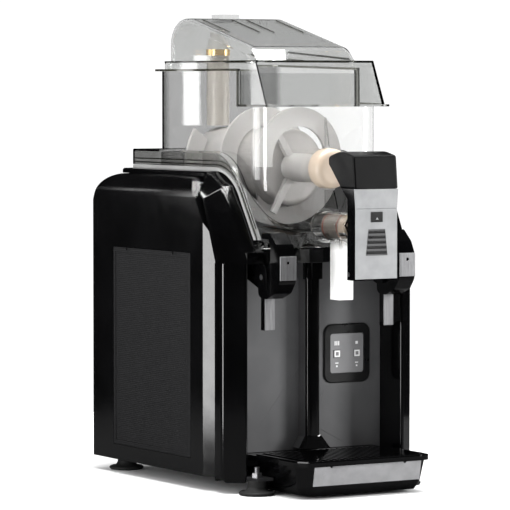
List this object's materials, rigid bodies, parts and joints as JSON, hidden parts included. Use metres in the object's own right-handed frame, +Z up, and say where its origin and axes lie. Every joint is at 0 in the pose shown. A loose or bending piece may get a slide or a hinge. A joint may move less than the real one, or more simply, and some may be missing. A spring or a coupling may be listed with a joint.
{
  "type": "slush machine",
  "caption": "Counter-top frozen drink machine: black body, clear bowl with auger and lid, pull-lever tap, bowl clamps, two-key control plate, drip tray on levelling feet.",
  "frame": {"origin": "on the surface the feet stand on, under the centre of the bounding box", "axes": "+Z up, front (tap and drip tray) towards -Y, +X to the right seen from the front"},
  "size_m": [0.32, 0.5199, 0.6665],
  "materials": {
    "gloss_black": "gloss",
    "satin_grey": "satin",
    "mesh_grey": "matte",
    "clear": "clear gloss",
    "white_plastic": "satin",
    "ivory": "satin",
    "silver": "satin silver paint",
    "steel": "brushed",
    "trim_grey": "brushed",
    "zinc": "plain",
    "black_rubber": "matte",
    "grey_seal": "matte",
    "red_rubber": "satin",
    "brass": "polished",
    "foam": "matte",
    "keypad": "satin film",
    "board": "lacquer",
    "copper": "plain copper",
    "machine_black": "semi gloss"
  },
  "bodies": {
    "body": {"base_pan": "machine_black", "foot_front_left": "black_rubber", "foot_front_right": "black_rubber", "foot_rear_left": "black_rubber", "foot_rear_right": "black_rubber", "foot_studs": "steel", "left_side_panel": "gloss_black", "right_side_panel": "gloss_black", "front_frame": "gloss_black", "recess_panel": "satin_grey", "drain_column": "gloss_black", "top_cover": "gloss_black", "bowl": "clear", "bowl_gasket": "grey_seal", "bowl_cradle": "foam", "evaporator_drum": "steel", "neck_seal": "black_rubber", "nose_cap": "ivory", "gear_motor": "machine_black", "motor_bracket": "zinc", "light_tube": "ivory", "light_collar": "brass", "light_cap": "white_plastic", "tap_body": "clear", "pivot_pins": "steel", "clamp_brackets": "gloss_black", "control_bezel": "satin_grey", "keypad_plate": "keypad", "control_board": "board", "rear_panel": "machine_black", "cord_gland": "black_rubber", "panel_screws": "steel", "compressor": "machine_black", "compressor_mounts": "black_rubber", "condenser": "zinc", "fan_shroud": "zinc", "fan_motor": "machine_black", "refrigerant_pipe": "copper"},
    "auger": {"auger": "white_plastic", "drive_shaft": "steel"},
    "fan": {"fan_blade": "satin_grey"},
    "lid": {"lid": "clear"},
    "left_clamp": {"left_clamp": "gloss_black", "left_clamp_trim": "trim_grey"},
    "right_clamp": {"right_clamp": "gloss_black", "right_clamp_trim": "trim_grey"},
    "lever": {"lever_stem": "gloss_black", "lever_cap": "gloss_black", "lever_plate": "silver", "lever_trim": "satin_grey"},
    "piston": {"tap_piston": "white_plastic", "piston_rings": "red_rubber", "piston_nose": "ivory"},
    "key_left": {"key_left": "keypad"},
    "key_right": {"key_right": "keypad"},
    "drip_tray": {"drip_tray": "gloss_black", "tray_plate": "silver"},
    "grille": {"drip_grille": "gloss_black"},
    "left_vent": {"left_vent_cover": "mesh_grey"},
    "right_vent": {"right_vent_cover": "mesh_grey"}
  },
  "joints": [
    {"name": "auger_turn", "type": "hinge", "parent": "body", "child": "auger", "pos_m": [0, 0, 0.448], "axis": [0, 1, 0], "continuous": true},
    {"name": "fan_turn", "type": "hinge", "parent": "body", "child": "fan", "pos_m": [-0.1035, 0.105, 0.136], "axis": [1, 0, 0], "continuous": true},
    {"name": "lid_lift", "type": "slide", "parent": "body", "child": "lid", "axis": [0, 0, 1], "range_m": [0, 0.16]},
    {"name": "left_clamp_turn", "type": "hinge", "parent": "body", "child": "left_clamp", "pos_m": [-0.098, -0.1435, 0.3], "axis": [1, 0, 0], "range_deg": [0, 45]},
    {"name": "right_clamp_turn", "type": "hinge", "parent": "body", "child": "right_clamp", "pos_m": [0.098, -0.1435, 0.3], "axis": [1, 0, 0], "range_deg": [0, 45]},
    {"name": "lever_pull", "type": "hinge", "parent": "body", "child": "lever", "pos_m": [0, -0.24, 0.306], "axis": [1, 0, 0], "range_deg": [0, 25], "stiffness_Nm_per_rad": 4, "springref_deg": -6.88},
    {"name": "piston_slide", "type": "slide", "parent": "body", "child": "piston", "axis": [0, -1, 0], "range_m": [0, 0.0275]},
    {"name": "left_key_press", "type": "slide", "parent": "body", "child": "key_left", "axis": [0, 1, 0], "range_m": [0, 0.0008], "stiffness_N_per_m": 900, "springref_m": -0.0005},
    {"name": "right_key_press", "type": "slide", "parent": "body", "child": "key_right", "axis": [0, 1, 0], "range_m": [0, 0.0008], "stiffness_N_per_m": 900, "springref_m": -0.0005},
    {"name": "tray_pull", "type": "slide", "parent": "body", "child": "drip_tray", "axis": [0, -1, 0], "range_m": [0, 0.16]},
    {"name": "grille_lift", "type": "slide", "parent": "drip_tray", "child": "grille", "axis": [0, 0, 1], "range_m": [0, 0.08]},
    {"name": "left_vent_pull", "type": "slide", "parent": "body", "child": "left_vent", "axis": [-1, 0, 0], "range_m": [0, 0.04]},
    {"name": "right_vent_pull", "type": "slide", "parent": "body", "child": "right_vent", "axis": [1, 0, 0], "range_m": [0, 0.04]}
  ],
  "couplings": [
    {"joint": "piston_slide", "follows": "lever_pull", "m_per_rad": 0.062}
  ]
}
